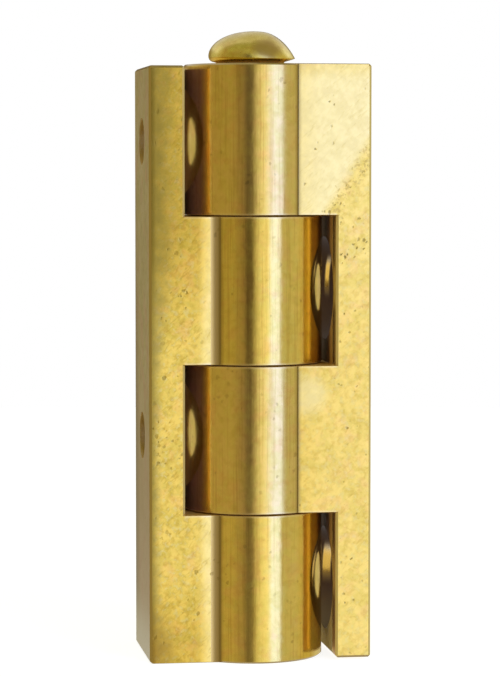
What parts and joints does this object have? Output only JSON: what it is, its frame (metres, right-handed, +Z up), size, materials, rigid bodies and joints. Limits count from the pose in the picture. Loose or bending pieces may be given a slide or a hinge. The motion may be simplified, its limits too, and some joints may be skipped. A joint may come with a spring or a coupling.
{
  "type": "loose-pin cabinet hinge",
  "caption": "Solid brass cabinet hinge: machined leaves with interlocking round knuckles on a loose dome-headed pin, countersunk screw holes facing outwards.",
  "frame": {"origin": "on the pin axis, in the plane of the fixed leaf's foot", "axes": "+Z up along the pin towards its head, +X from the fixed leaf to the swinging leaf, -Y out of the side on which the knuckles show"},
  "size_m": [0.0186, 0.0126, 0.0531],
  "materials": {
    "fixed_leaf_brass": "polished knuckles, sanded flats",
    "swing_leaf_brass": "polished knuckles, sanded flats",
    "pin_brass": "formed head, dull polish"
  },
  "bodies": {
    "fixed": {"fixed_leaf": "fixed_leaf_brass"},
    "swing": {"swing_leaf": "swing_leaf_brass"},
    "pin": {"hinge_pin": "pin_brass"}
  },
  "joints": [
    {"name": "leaf_swing", "type": "hinge", "parent": "fixed", "child": "swing", "pos_m": [0, 0, 0.025], "axis": [0, 0, 1], "range_deg": [-102, 85]},
    {"name": "pin_draw", "type": "slide", "parent": "fixed", "child": "pin", "axis": [0, 0, 1], "range_m": [0, 0.052]}
  ]
}
